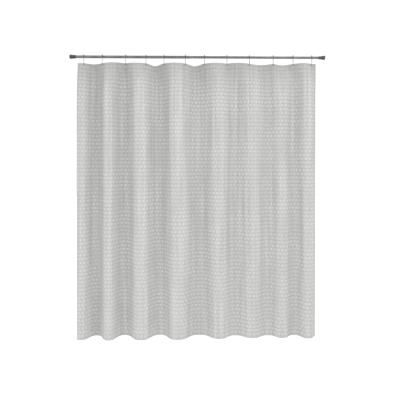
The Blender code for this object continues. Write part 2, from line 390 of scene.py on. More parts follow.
@dataclass(frozen=True)
class WaffleCloth:
    """Woven cloth with a raised cell pattern, read from the cloth's own flat map.

    Painted shade greys the hollows of its folds a little, on each side of the cloth. Painted shade
    also darkens the doubled header band, the cloth below the rod and the rings, and by a little
    all the way up.
    """

    name: str = "waffle_cloth"
    valley: tuple = (0.30, 0.298, 0.294)
    crown: tuple = (0.56, 0.556, 0.548)
    level: float = 0.6
    plain_header: float = 0.1
    thread: float = 0.0019
    dust_and_painted_shade: float = 0.29
    header_shade: float = 0.04
    rod_shade: float = 0.15
    rise_shade: float = 0.16

    def build(self) -> bpy.types.Material:
        """Return the material."""
        graph = Graph(self.name)
        flat = graph.node("ShaderNodeUVMap", {"uv_map": "flat"}, output="UV")
        across = graph.node("ShaderNodeSeparateXYZ", {}, {0: flat}, output=0)
        down = graph.node("ShaderNodeSeparateXYZ", {}, {0: flat}, output=1)
        row = graph.node("ShaderNodeMath", {"operation": "FLOOR"}, {0: down / CELL + 0.5})
        aside = across + row * (CELL / 2)
        ribs = self._ridges(down, CELL)
        patchy = graph.noise(self._stretched(graph, flat, 9.0, 6.0), 1.0, 2.0).step_up(0.35, 0.65)
        patterned = down.step_up(self.plain_header * 0.85, self.plain_header * 1.15)
        dots = self._ridges(aside, CELL) ** 2.5 * ribs * (patchy * 0.7 + 0.3) * patterned
        grooves = (1.0 - ribs) ** 5.0
        slub = graph.noise(self._stretched(graph, flat, 55.0, 190.0), 1.0, 2.0) - 0.5
        streaks = graph.noise(self._stretched(graph, flat, 75.0, 1.4), 1.0, 2.0) - 0.5
        fibre = graph.noise(flat, 420.0, 2.0) - 0.5
        threads = self._ridges(across, self.thread) * self._ridges(down, self.thread * 0.9)
        # painted shade: darker along the folded top and bottom edges of the sheet
        edge = 1.0 - down.step_up(0.001, 0.006) + down.step_up(CUT_SIZE - 0.008, CUT_SIZE - 0.003)
        # painted shade: the hollows of the folds are darkened by their depth, on each side of the
        # cloth
        dust_and_painted_shade = graph.node("ShaderNodeAttribute", {"attribute_name": "hollow"}, output="Fac")
        # painted shade: darker on the header band, below the rod and the rings, and a little more
        # towards the top
        shade = (1.0 - down.step_up(0.036, 0.042)) * self.header_shade
        shade = shade + (1.0 - down / CUT_SIZE) * self.rise_shade
        shade = shade + (1.0 - down.step_up(0.02, 0.26)) * self.rod_shade
        tone = dots * 0.5 - grooves * 0.2 + slub * 0.75 + streaks * 0.9 + fibre * 0.15
        tone = tone + threads * 0.06 - edge * 0.35 - dust_and_painted_shade * self.dust_and_painted_shade - shade + self.level
        colour = graph.mix_colour(tone, self.valley, self.crown)
        height = dots * 0.5 - grooves * 0.25 + threads * 0.2 + fibre * 0.15 + slub * 0.2
        normal = graph.bump(height, 0.45, 0.0012)
        return graph.finish(
            Base_Color=colour,
            Roughness=0.88 + fibre * 0.1,
            Normal=normal,
            Sheen_Weight=0.1,
            Sheen_Roughness=0.5,
            Specular_IOR_Level=0.2,
        )

    def _ridges(self, place: Value, pitch: float) -> Value:
        """Return a cosine ridge from 0 to 1 that repeats every pitch."""
        return (place * (TURN / pitch)).cosine() * 0.5 + 0.5

    def _stretched(self, graph: Graph, flat: Value, across: float, down: float) -> Value:
        """Return the flat place scaled across and down the cloth."""
        return graph.node("ShaderNodeMapping", {}, {"Vector": flat, "Scale": (across, down, 1.0)})


@dataclass(frozen=True)
class Thread:
    """Twisted polyester sewing thread."""

    name: str = "sewing_thread"
    dark: tuple = (0.34, 0.337, 0.33)
    light: tuple = (0.5, 0.497, 0.49)

    def build(self) -> bpy.types.Material:
        """Return the material."""
        graph = Graph(self.name)
        twist = graph.noise(graph.object_place((1.0, 1.0, 0.6)), 900.0, 2.0)
        tone = graph.mix_colour(twist.step_up(0.3, 0.7), self.dark, self.light)
        normal = graph.bump(twist, 0.4, 0.0002)
        return graph.finish(Base_Color=tone, Roughness=0.7 + twist * 0.15, Normal=normal)


@dataclass(frozen=True)
class PalePaper:
    """The studio's paper floor, which glows a little so that it stays white."""

    name: str = "studio_paper"
    dark: tuple = (0.9, 0.9, 0.9)
    light: tuple = (0.93, 0.93, 0.93)
    glow: float = 0.3

    def build(self) -> bpy.types.Material:
        """Return the material."""
        graph = Graph(self.name)
        mottle = graph.noise(graph.object_place(), 2.0, 2.0)
        tone = graph.mix_colour(mottle, self.dark, self.light)
        return graph.finish(
            Base_Color=tone,
            Roughness=0.9,
            Emission_Color=(1.0, 1.0, 1.0, 1.0),
            Emission_Strength=self.glow,
        )


# ---------------------------------------------------------------------------------------------
# Meshes
# ---------------------------------------------------------------------------------------------


def mesh_object(
    name: str,
    points: Array,
    groups: Sequence[Array],
    material: bpy.types.Material,
) -> bpy.types.Object:
    """Put a mesh in the scene.

    Args:
        name: the piece's name.
        points: the vertices, one row each.
        groups: arrays of faces, one row each, as vertex numbers anticlockwise from outside.
        material: what it is made of.

    Returns:
        The object, at the origin, smooth shaded.
    """
    corners = np.concatenate([faces.ravel() for faces in groups]).astype(np.int32)
    sides = np.concatenate([np.full(len(faces), faces.shape[1], np.int32) for faces in groups])
    mesh = bpy.data.meshes.new(name)
    mesh.vertices.add(len(points))
    mesh.vertices.foreach_set("co", points.astype(np.float32).ravel())
    mesh.loops.add(len(corners))
    mesh.loops.foreach_set("vertex_index", corners)
    mesh.polygons.add(len(sides))
    mesh.polygons.foreach_set("loop_start", (np.cumsum(sides) - sides).astype(np.int32))
    mesh.update(calc_edges=True)
    mesh.shade_smooth()
    mesh.materials.append(material)
    made = bpy.data.objects.new(name, mesh)
    bpy.context.scene.collection.objects.link(made)
    return made


def take_place(piece: bpy.types.Object, node: str) -> None:
    """Let a piece stand for a CAD node, on the node's own body."""
    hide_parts(node)
    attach(piece, frame["nodes"][node]["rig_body"])
    LOG.info("%s replaces %s", piece.name, node)


def ring_nodes() -> list[str]:
    """Return the names of the rings' nodes, from left to right."""
    return sorted(name for name in frame["nodes"] if name.startswith("ring_"))


def torus_faces(around: int, along: int) -> Array:
    """Return the faces of a grid that closes on itself both ways.

    Args:
        around: points in each row.
        along: rows.

    Returns:
        Face (row, column) joins that point to the next in its row and in the next row.
    """
    row, column = np.meshgrid(np.arange(along), np.arange(around), indexing="ij")
    next_row = (row + 1) % along
    next_column = (column + 1) % around
    corners = (
        row * around + column,
        row * around + next_column,
        next_row * around + next_column,
        next_row * around + column,
    )
    return np.stack(corners, axis=-1).reshape(-1, 4)


def round_turn(count: int) -> Array:
    """Return angles in equal steps round one whole turn, from 0."""
    return np.linspace(0.0, TURN, count, endpoint=False)


def turned_about_rod(profile: Array, sides: int) -> tuple[Array, list[Array]]:
    """Turn a profile about the rod's axis.

    A profile point (x, r) at the angle a goes to (x, -r cos a, r sin a). If the profile starts
    and ends on the axis, each of those points becomes one pole. Otherwise it closes on itself.

    Args:
        profile: points (x, radius), clockwise in a drawing with x to the right and r up.
        sides: steps of the turn.

    Returns:
        The points, and the groups of faces.
    """
    poles = profile[[0, -1]] if profile[0, 1] == 0 else None
    outline = profile if poles is None else profile[1:-1]
    count = len(outline)
    angle = round_turn(sides)[:, None]
    x = np.broadcast_to(outline[:, 0], (sides, count))
    y = -outline[:, 1] * np.cos(angle)
    z = outline[:, 1] * np.sin(angle)
    points = np.stack([x, y, z], axis=-1).reshape(-1, 3)
    faces = torus_faces(count, sides)[:, ::-1]
    if poles is None:
        return points, [faces]
    centres = np.stack([poles[:, 0], np.zeros(2), np.zeros(2)], axis=-1)
    start = np.arange(sides) * count
    after = np.roll(start, -1)
    first = np.stack([np.full(sides, len(points)), after, start], axis=-1)
    pole = np.full(sides, len(points) + 1)
    last = np.stack([pole, start + count - 1, after + count - 1], axis=-1)
    open_faces = faces[np.arange(len(faces)) % count != count - 1]
    return np.concatenate([points, centres]), [open_faces, first, last]


def arc_points(x: float, radius: float, size: float, start: float, end: float) -> Array:
    """Return five points of a rounded corner in a profile.

    Args:
        x: the arc's centre along the rod.
        radius: the arc's centre's distance from the rod's axis.
        size: the corner's own radius.
        start: the first direction in degrees, 0 along +x and 90 outwards.
        end: the last direction.

    Returns:
        The points (x, radius).
    """
    angle = np.radians(np.linspace(start, end, 5))
    return np.stack([x + size * np.cos(angle), radius + size * np.sin(angle)], axis=-1)


def swept_tube(centres: Array, sides_a: Array, sides_b: Array, ring: int) -> tuple[Array, Array]:
    """Carry an ellipse along a closed path.

    A point at the angle t round the section at a station is its centre + A cos t + B sin t.

    Args:
        centres: the path, one row for each station.
        sides_a: each station's first half axis A.
        sides_b: each station's second half axis B.
        ring: points round the section.

    Returns:
        The points and the faces.
    """
    angle = round_turn(ring)
    cosine = np.cos(angle)[None, :, None]
    sine = np.sin(angle)[None, :, None]
    points = centres[:, None] + sides_a[:, None] * cosine + sides_b[:, None] * sine
    return points.reshape(-1, 3), torus_faces(ring, len(centres))[:, ::-1]


def node_points(node: str) -> Array:
    """Return the points of a CAD node, one row each."""
    mesh = frame["nodes"][node].data
    points = np.zeros(len(mesh.vertices) * 3, np.float32)
    mesh.vertices.foreach_get("co", points)
    return points.reshape(-1, 3).astype(float)


def smooth_step(low: float, high: float, value: Array) -> Array:
    """Return 0 below low, 1 above high and 3t^2 - 2t^3 between them."""
    share = np.clip((value - low) / (high - low), 0.0, 1.0)
    return share * share * (3 - 2 * share)


def raised_cosine(value: Array) -> Array:
    """Return a wave that is 1 at every whole number and 0 half-way between them."""
    return 0.5 + 0.5 * np.cos(value * TURN)


def unit(vectors: Array) -> Array:
    """Return the vectors at length 1."""
    return vectors / np.linalg.norm(vectors, axis=-1, keepdims=True)


# ---------------------------------------------------------------------------------------------
# The cloth
# ---------------------------------------------------------------------------------------------


@dataclass
class Panel:
    """One stretch of the sheet, between two bodies of the frame."""

    name: str
    node: str
    left: float
    right: float
    body: str
    next_body: str | None

    def join(self, piece: bpy.types.Object) -> None:
        """Attach a piece to the stretch's body if it has only one, else bake its place into its
        mesh.
        """
        if self.next_body is None:
            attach(piece, self.body)
        else:
            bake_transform(piece)


@dataclass
class Cloth:
    """The sheet: where it hangs, how its folds run, and its hems, eyelets and stitches."""

    column_step: float = 0.0048
    row_step: float = 0.0052
    thickness: float = 0.0011
    hem_height: float = 0.026
    hem_extra: float = 0.0013
    header_height: float = 0.038
    header_extra: float = 0.0011
    side_hem: float = 0.014
    side_extra: float = 0.001
    hem_step: float = 0.0016
    crowding: float = 0.0011
    least_gap: float = 0.0002
    header_flat: float = 0.025
    settling: float = 0.42
    header_bow: float = 0.022
    fold_flatness: float = 0.7
    bow_ways: tuple = (-1, 1, -1, -1, 1, -1, 1, -1, -1, 1, 1, -1, 1)
    droops_mm: tuple = (0, 1, 0, 2, 11, 0, 11, 0, 0, 2, 3, 0, 0)
    pleat_depth: float = 0.0021
    pleat_pitch: float = 0.034
    pleat_reach: float = 0.03
    pleat_length: float = 0.16
    pucker_depth: float = 0.0004
    pucker_reach: float = 0.009
    relief: float = 0.0009
    relief_fade: float = 0.01
    eyelet_width: float = 0.006
    eyelet_height: float = 0.0064
    eyelet_over_ring: float = 0.0036
    binding_turns: int = 44
    binding_sides: int = 10
    binding_swell: float = 0.13
    binding_half_width: float = 0.00135
    binding_over_cloth: float = 0.0006
    binding_off_side: float = 0.0006
    binding_off_end: float = 0.0014
    stitch_pitch: float = 0.0038
    stitch_length: float = 0.0028
    stitch_radius: float = 0.00045
    stitch_sides: int = 6
    stitch_inset: float = 0.002
    top_row_depth: float = 0.0035

    def __post_init__(self) -> None:
        """Read the sheet's place from the frame."""
        count = sum(name.startswith("curtain_panel_") for name in frame["nodes"])
        self.nodes = [f"curtain_panel_{i + 1:02d}" for i in range(count)]
        boxes = [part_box(name) for name in self.nodes]
        low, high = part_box("curtain_left_edge")
        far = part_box("curtain_right_edge")[1]
        inset = (boxes[1][0].x - boxes[0][1].x) / 2
        self.left = low.x - inset
        self.right = far.x + inset
        self.top = high.z
        self.drop = high.z - low.z
        starts = [box[0].x - inset for box in boxes]
        self.lines = np.array([*starts, boxes[-1][1].x + inset])
        ends = np.array([self._bottom_ends(name) for name in self.nodes])
        self.heights = np.array([*ends[:, 0], ends[-1, 1]])
        ring_boxes = [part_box(name) for name in ring_nodes()]
        self.rings = np.array([(box[0].x + box[1].x) / 2 for box in ring_boxes])
        self.eyelet_top = ring_boxes[0][0].z + self.eyelet_over_ring
        self.panels = self._panels()
        self._measure()

    def _bottom_ends(self, node: str) -> tuple[float, float]:
        """Return the sheet's y at the left and right end of a panel's bottom edge."""
        points = node_points(node)
        bottom = points[points[:, 2] < points[:, 2].min() + 1e-4]
        left = bottom[bottom[:, 0] < bottom[:, 0].min() + 1e-3, 1].mean()
        right = bottom[bottom[:, 0] > bottom[:, 0].max() - 1e-3, 1].mean()
        return float(left), float(right)

    def _panels(self) -> list[Panel]:
        """Return the stretches from left to right, each with its bodies."""
        lines = self.lines
        bodies = [f"fold_{i + 1:02d}" for i in range(len(lines))]
        edges = ("cloth_left_edge", "curtain_left_edge"), ("cloth_right_edge", "curtain_right_edge")
        made = [Panel(*edges[0], self.left, lines[0], bodies[0], None)]
        for i, node in enumerate(self.nodes):
            name = f"cloth_{i + 1:02d}"
            made.append(Panel(name, node, lines[i], lines[i + 1], bodies[i], bodies[i + 1]))
        made.append(Panel(*edges[1], lines[-1], self.right, bodies[-1], None))
        return made

    def _measure(self) -> None:
        """Work out how far along the flat cloth each x lies.

        The length is summed along the folds below the header, where the sheet has settled. It
        grows with their depth, and the share of the read depth that takes up the sheet's cut
        width is found by halving.
        """
        self.fine_x = np.linspace(self.left, self.right, 6000)
        wave = self.fold_wave(self.fine_x)
        low, high = 0.5, 1.5
        for _ in range(30):
            share = (low + high) / 2
            steps = np.hypot(np.diff(self.fine_x), np.diff(wave * share))
            low, high = (share, high) if steps.sum() < CUT_SIZE else (low, share)
        self.heights = self.heights * share
        self.fine_along = np.concatenate([[0.0], np.cumsum(steps)])
        self.flat_width = float(self.fine_along[-1])

    def along(self, x: Array) -> Array:
        """Return the distance along the flat cloth from its left edge to x."""
        return np.interp(x, self.fine_x, self.fine_along)

    def fold_wave(self, x: Array) -> Array:
        """Return how far back the settled sheet stands at x.

        Between two fold lines it is half a cosine from one line's height to the next one's,
        flattened at both ends: the folds have broad backs and steep flanks.
        """
        index = np.clip(np.searchsorted(self.lines, x) - 1, 0, len(self.lines) - 2)
        share = (x - self.lines[index]) / (self.lines[index + 1] - self.lines[index])
        first = self.heights[index]
        second = self.heights[index + 1]
        turn = np.cos(math.pi * share)
        broad = np.sin(math.pi / 2 * turn)
        turn = turn + self.fold_flatness * (broad - turn)
        return (first + second) / 2 + (first - second) / 2 * turn

    def header_wave(self, x: Array) -> tuple[Array, Array]:
        """Return how far back the top edge bows at x, and how far it droops.

        Between two rings the bow is half a sine and the droop is its square.
        """
        ends = np.concatenate([[self.left], self.rings, [self.right]])
        index = np.clip(np.searchsorted(ends, x) - 1, 0, len(ends) - 2)
        share = (x - ends[index]) / (ends[index + 1] - ends[index])
        between = (index > 0) & (index < len(ends) - 2)
        bow = np.where(between, np.sin(math.pi * share), 0.0)
        ways = np.array(self.bow_ways)[index]
        droop = np.array(self.droops_mm)[index] / 1000
        return self.header_bow * ways * bow, droop * bow**2

    def drag(self, x: Array, depth: Array) -> Array:
        """Return the small pleats that each ring pulls into the cloth below it.

        Each is a cosine across, faded to either side by a bell curve and downwards by a decay.
        """
        total = np.zeros_like(x)
        for place in self.rings:
            off = x - place
            bell = np.exp(-((off / self.pleat_reach) ** 2))
            total += np.cos(off * TURN / self.pleat_pitch) * bell
        fade = smooth_step(0.012, 0.045, depth) * np.exp(-depth / self.pleat_length)
        return self.pleat_depth * total * fade

    def ripple(self, x: Array, depth: Array) -> Array:
        """Return the sheet's slow unevenness: three crossed sines of about a millimetre."""
        along = self.along(x)
        slow = np.sin(along * 23.0 + depth * 2.3) * np.sin(depth * 3.1 + along * 4.0)
        quick = np.sin(along * 61.0 - depth * 1.7 + 1.0) * np.sin(depth * 5.3 + along * 7.0)
        return (0.0011 * slow + 0.0006 * quick) * smooth_step(0.02, 0.3, depth)

    def middle(self, x: Array, depth: Array) -> Array:
        """Return the points of the sheet's middle surface.

        Down to the header's foot the cloth runs through the rod's plane at each ring and bows
        between them. Over the next stretch the bows give way to the deeper folds.

        Args:
            x: places along the rod.
            depth: distances down from the top edge.

        Returns:
            The points.
        """
        share = np.clip((depth - self.header_flat) / self.settling, 0.0, 1.0)
        settled = 1.0 - (1.0 - share) ** 3
        bow, droop = self.header_wave(x)
        y = (1.0 - settled) * bow + settled * self.fold_wave(x)
        y = y + self.drag(x, depth) + self.ripple(x, depth)
        z = self.top - depth - droop * (1.0 - settled)
        return np.stack([x, y, z], axis=-1)

    def front_of(self, x: Array, depth: Array, step: float = 0.0008) -> tuple[Array, Array, Array]:
        """Return the middle surface with its directions.

        Args:
            x: places along the rod.
            depth: distances down from the top edge.
            step: how far apart the points are from which the directions are taken.

        Returns:
            The points, the unit direction along the cloth and the unit normal to the room.
        """
        points = self.middle(x, depth)
        across = unit(self.middle(x + step, depth) - self.middle(x - step, depth))
        down = self.middle(x, depth + step) - self.middle(x, depth - step)
        return points, across, unit(np.cross(down, across))

    def half_thickness(self, x: Array, depth: Array) -> Array:
        """Return half the cloth's thickness, which grows by smooth steps into its hems."""
        step = self.hem_step
        hem = smooth_step(self.drop - self.hem_height - step, self.drop - self.hem_height, depth)
        header = 1 - smooth_step(self.header_height, self.header_height + step, depth)
        off_edge = np.minimum(self.along(x), self.flat_width - self.along(x))
        side = 1 - smooth_step(self.side_hem, self.side_hem + step, off_edge)
        extra = np.maximum(hem * self.hem_extra, header * self.header_extra)
        return (self.thickness + np.maximum(extra, side * self.side_extra)) / 2

    def cells(self, x: Array, depth: Array) -> Array:
        """Return the weave's relief: the product of two raised cosines, nearly flat on the hems.

        Each row of cells stands half a cell aside from the one above it.
        """
        row = np.floor(depth / CELL + 0.5)
        cell = raised_cosine(self.along(x) / CELL + row / 2) * raised_cosine(depth / CELL)
        hem = self.drop - self.hem_height
        clear = smooth_step(self.header_height, self.header_height + self.relief_fade, depth)
        clear *= 1 - smooth_step(hem - self.relief_fade, hem, depth)
        return self.relief * cell * (0.25 + 0.75 * clear)

    def pucker(self, x: Array, depth: Array) -> Array:
        """Return the gathers that a seam draws into the cloth beside it.

        They are a short and a long cosine along the seam, faded to either side by a bell curve.
        """
        seams = (self.header_height, self.drop - self.hem_height)
        near = sum(np.exp(-(((depth - seam) / self.pucker_reach) ** 2)) for seam in seams)
        along = self.along(x) * TURN
        wave = np.cos(along / 0.0135) + 0.5 * np.cos(along / 0.031)
        return self.pucker_depth * wave * near

    def columns(self, panel: Panel) -> Array:
        """Return the x of a stretch's columns, with one at each side of every eyelet in it."""
        width = self.along(panel.right) - self.along(panel.left)
        count = max(4, math.ceil(width / self.column_step))
        even = np.linspace(panel.left, panel.right, count + 1)
        half = self.eyelet_width / 2
        edges = np.concatenate([self.rings - half, self.rings, self.rings + half])
        inside = (edges > panel.left + self.least_gap) & (edges < panel.right - self.least_gap)
        return self._with_edges(even, edges[inside])

    def rows(self) -> Array:
        """Return the depth of each row, with one at each edge of the eyelets and the hems."""
        count = math.ceil(self.drop / self.row_step)
        even = np.linspace(0.0, self.drop, count + 1)
        eyelet = self.top - self.eyelet_top
        step = self.hem_step
        hem = self.drop - self.hem_height
        edges = [eyelet, eyelet + self.eyelet_height, self.header_height, self.header_height + step]
        return self._with_edges(even, np.array([*edges, hem - step, hem]))

    def _with_edges(self, even: Array, edges: Array) -> Array:
        """Return even places and the edges, without the even ones that crowd an edge."""
        if len(edges) == 0:
            return even
        nearest = np.abs(even[:, None] - edges[None, :]).min(axis=1)
        keep = (nearest > self.crowding) | (even == even[0]) | (even == even[-1])
        return np.union1d(even[keep], edges)

    def build(self, cloth: bpy.types.Material, thread: bpy.types.Material) -> None:
        """Make every stretch of the sheet with its stitches and eyelets.

        Args:
            cloth: the sheet's material.
            thread: the stitches' material.
        """
        for panel in self.panels:
            sheet = self.stretch(panel, cloth)
            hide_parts(panel.node)
            panel.join(sheet)
            rows = self.stitches(panel, thread)
            panel.join(rows)
            for number, place in enumerate(self.rings, start=1):
                if panel.left <= place < panel.right:
                    edge = self.eyelet_edge(f"eyelet_stitches_{number:02d}", place, thread)
                    panel.join(edge)

    def stretch(self, panel: Panel, material: bpy.types.Material) -> bpy.types.Object:
        """Make one stretch of the sheet as a closed shell.

        The front and the back stand half the thickness from the middle surface, along its
        normal. The cells and puckers are added to the front and, at half their height, taken
        from the back. A rim closes every free edge, the eyelets' among them.

        Args:
            panel: the stretch.
            material: the cloth.

        Returns:
            The object, with a UV map named flat that holds the place on the flat cloth, and an
            attribute named hollow, which grows from its own side's crests back to its hollows. The
            cloth's material darkens the hollows by it, as painted shade.
        """
        x, depth = np.meshgrid(self.columns(panel), self.rows())
        front, back = self._faces_of_sheet(x, depth)
        step = 0.0012
        right, left = self._faces_of_sheet(x + step, depth), self._faces_of_sheet(x - step, depth)
        lower, upper = self._faces_of_sheet(x, depth + step), self._faces_of_sheet(x, depth - step)
        side_normals = [
            way * unit(np.cross(lower[i] - upper[i], right[i] - left[i])).reshape(-1, 3)
            for i, way in enumerate((1.0, -1.0))
        ]
        points = np.concatenate([front.reshape(-1, 3), back.reshape(-1, 3)])
        quads = self._open_quads(x, depth)
        total = x.size
        rim = self._rim(quads, total)
        faces = np.concatenate([quads, quads[:, ::-1] + total, rim])
        made = mesh_object(panel.name, points, [faces], material)
        corners = points[rim]
        rim_normal = unit(np.cross(corners[:, 2] - corners[:, 0], corners[:, 3] - corners[:, 1]))
        normals = np.concatenate(side_normals)[faces]
        normals[2 * len(quads):] = rim_normal[:, None]
        made.data.normals_split_custom_set(normals.reshape(-1, 3).tolist())
        # the fold depth, which the cloth's material turns into painted shade in the hollows
        set_back = self.fold_wave(x).ravel() / np.abs(self.heights).max() / 2
        hollow = made.data.attributes.new("hollow", "FLOAT", "POINT")
        hollow.data.foreach_set("value", np.concatenate([set_back, -set_back]).astype(np.float32))
        flat = np.stack([self.along(x), depth], axis=-1).reshape(-1, 2)
        layer = made.data.uv_layers.new(name="flat")
        layer.uv.foreach_set("vector", flat[faces.ravel() % total].astype(np.float32).ravel())
        return made

    def _faces_of_sheet(self, x: Array, depth: Array) -> tuple[Array, Array]:
        """Return the points of the front and of the back at x and depth."""
        points, _, normal = self.front_of(x, depth)
        half = self.half_thickness(x, depth)
        fine = self.cells(x, depth) + self.pucker(x, depth)
        front = points + normal * (half + fine)[..., None]
        back = points - normal * (half - 0.5 * fine)[..., None]
        return front, back

    def _open_quads(self, x: Array, depth: Array) -> Array:
        """Return the grid's faces, without those inside an eyelet."""
        rows, columns = x.shape
        corner = np.arange(rows * columns).reshape(rows, columns)[:-1, :-1].ravel()
        quads = np.stack([corner, corner + columns, corner + columns + 1, corner + 1], axis=-1)
        middle_x = x.ravel()[quads].mean(axis=1)
        middle_depth = depth.ravel()[quads].mean(axis=1)
        off = np.abs(middle_x[:, None] - self.rings[None, :]).min(axis=1)
        top = self.top - self.eyelet_top
        in_height = (middle_depth > top) & (middle_depth < top + self.eyelet_height)
        return quads[~((off < self.eyelet_width / 2) & in_height)]

    def _rim(self, quads: Array, total: int) -> Array:
        """Return the faces that join the front's free edges to the back's.

        An edge is free if no other face runs along it the other way.
        """
        starts = quads.ravel()
        ends = np.roll(quads, -1, axis=1).ravel()
        forward = starts * total + ends
        free = ~np.isin(forward, ends * total + starts)
        first, second = starts[free], ends[free]
        return np.stack([second, first, first + total, second + total], axis=-1)

    def stitches(self, panel: Panel, material: bpy.types.Material) -> bpy.types.Object:
        """Make the rows of stitches on one stretch.

        Two rows run along the header, one along the hem, and one down each free edge.

        Args:
            panel: the stretch.
            material: the thread.

        Returns:
            The object that holds them all.
        """
        start, end = self.along(panel.left), self.along(panel.right)
        first = math.ceil(start / self.stitch_pitch + 0.5)
        last = math.floor(end / self.stitch_pitch - 0.5)
        x = np.interp(np.arange(first, last + 1) * self.stitch_pitch, self.fine_along, self.fine_x)
        header = self.header_height - self.stitch_inset
        hem = self.drop - self.hem_height + self.stitch_inset
        lines = (self.top_row_depth, header, hem)
        sets = [self._stitch_set(x, np.full_like(x, depth), False) for depth in lines]
        if panel.next_body is None:
            inset = self.side_hem - self.stitch_inset
            off = inset if panel.left == self.left else self.flat_width - inset
            place = np.interp(off, self.fine_along, self.fine_x)
            depth = np.arange(0.008, self.drop - 0.006, self.stitch_pitch)
            sets.append(self._stitch_set(np.full_like(depth, place), depth, True))
        points = np.concatenate(sets)
        sides = self.stitch_sides
        last_ring = sides * (sides - 1)
        body = torus_faces(sides, sides)[:last_ring]
        cap = np.array([[0, 1, 2, 3], [0, 3, 4, 5]])
        each = np.concatenate([body, cap[:, [0, 3, 2, 1]], cap + last_ring])
        starts = np.arange(0, len(points), sides * sides)
        faces = (each[None] + starts[:, None, None]).reshape(-1, 4)
        name = panel.name.replace("cloth", "stitches")
        return mesh_object(name, points, [faces], material)

    def _stitch_set(self, x: Array, depth: Array, downwards: bool) -> Array:
        """Return the points of many stitches at once, as many rings for each as it has sides.

        A stitch is a ball drawn out along its row. At the share s of its length its radius is
        r (sin(pi s))^0.6, and it is sunk so that its middle stands 0.3 r over the cloth.

        Args:
            x: each stitch's place along the rod.
            depth: each stitch's depth.
            downwards: whether the row runs down the cloth and not along it.

        Returns:
            All the points, stitch by stitch.
        """
        points, across, normal = self.front_of(x, depth)
        down = np.cross(across, normal)
        run, side = (down, across) if downwards else (across, down)
        lift = self.half_thickness(x, depth) + self.cells(x, depth) + self.pucker(x, depth)
        centre = points + normal * (lift + self.stitch_radius * 0.3)[:, None]
        share = np.linspace(0.06, 0.94, self.stitch_sides)[:, None]
        angle = round_turn(self.stitch_sides)[None, :]
        radius = self.stitch_radius * np.sin(math.pi * share) ** 0.6
        wide = radius * np.cos(angle) * 1.15
        high = radius * np.sin(angle) * (1.0 if downwards else -1.0)
        length = np.broadcast_to((share - 0.5) * self.stitch_length, wide.shape)
        shape = (
            centre[:, None, None]
            + run[:, None, None] * length[None, ..., None]
            + side[:, None, None] * wide[None, ..., None]
            + normal[:, None, None] * high[None, ..., None]
        )
        return shape.reshape(-1, 3)

    def eyelet_edge(
        self, name: str, place: float, material: bpy.types.Material
    ) -> bpy.types.Object:
        """Make the thread that binds one eyelet.

        It follows an oval round the hole. Its section is an ellipse as deep as the header, and
        it swells and shrinks with each turn of the thread.

        Args:
            name: the piece's name.
            place: the eyelet's x.
            material: the thread.

        Returns:
            The object.
        """
        angle = round_turn(3 * self.binding_turns)
        centre_depth = self.top - self.eyelet_top + self.eyelet_height / 2
        x = place + (self.eyelet_width / 2 + self.binding_off_side) * np.cos(angle)
        depth = centre_depth - (self.eyelet_height / 2 + self.binding_off_end) * np.sin(angle)
        points, across, normal = self.front_of(x, depth)
        up = -np.cross(across, normal)
        out = unit(across * np.cos(angle)[:, None] + up * np.sin(angle)[:, None])
        swell = 1 + self.binding_swell * np.cos(angle * self.binding_turns)
        deep = (self.half_thickness(x, depth) + self.binding_over_cloth) * swell
        wide = self.binding_half_width * swell
        half_axes = out * wide[:, None], normal * deep[:, None]
        points, faces = swept_tube(points, *half_axes, self.binding_sides)
        return mesh_object(name, points, [faces], material)


# ---------------------------------------------------------------------------------------------
# Rings
# ---------------------------------------------------------------------------------------------


